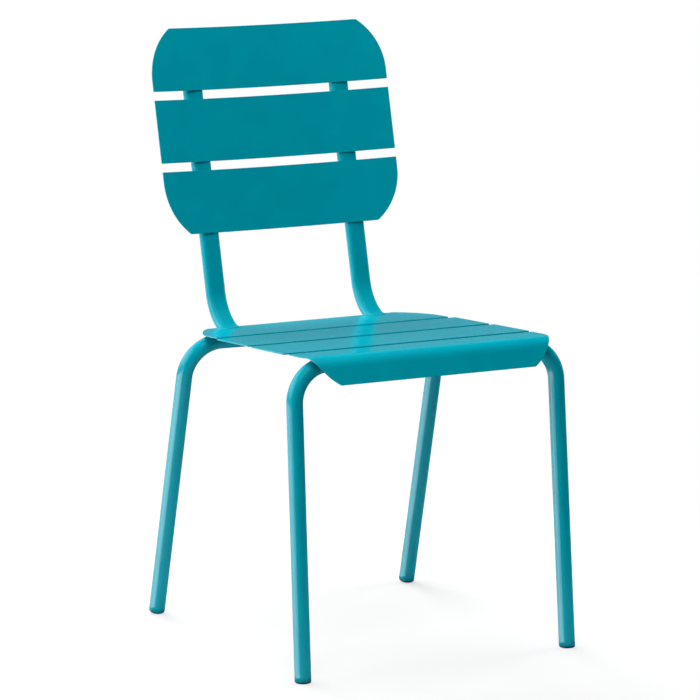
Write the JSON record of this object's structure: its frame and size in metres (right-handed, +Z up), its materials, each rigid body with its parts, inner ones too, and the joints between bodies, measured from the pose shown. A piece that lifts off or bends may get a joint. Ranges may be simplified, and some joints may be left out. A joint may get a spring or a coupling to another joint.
{
  "type": "stacking chair",
  "caption": "Armless stacking garden chair: welded frame of bent steel tube with flat sheet-steel seat slats and curved back slats, powder coated all over.",
  "frame": {"origin": "on the floor, in the middle of the overall box of the chair", "axes": "+Z up, -Y the way the sitter faces, +X to the sitter's left"},
  "size_m": [0.4474, 0.5506, 0.8525],
  "materials": {
    "powder_coat": "smooth satin teal powder coat over steel",
    "black_plastic": "fine matt moulded polyethylene"
  },
  "bodies": {
    "root": {"seat_slat_rear": "powder_coat", "seat_slat_second": "powder_coat", "seat_slat_third": "powder_coat", "seat_slat_front": "powder_coat", "back_slat_bottom": "powder_coat", "back_slat_middle": "powder_coat", "back_slat_top": "powder_coat", "front_leg_arch": "powder_coat", "rear_leg_arch": "powder_coat", "seat_rail_left": "powder_coat", "seat_rail_right": "powder_coat", "back_upright_left": "powder_coat", "back_upright_right": "powder_coat", "seat_rail_welds": "powder_coat", "crossbar_welds": "powder_coat", "back_slat_welds": "powder_coat", "frame_joint_welds": "powder_coat", "upright_notch_welds": "powder_coat", "front_glide_left": "black_plastic", "front_glide_right": "black_plastic", "rear_glide_left": "black_plastic", "rear_glide_right": "black_plastic", "upright_cap_left": "black_plastic", "upright_cap_right": "black_plastic"}
  },
  "joints": []
}
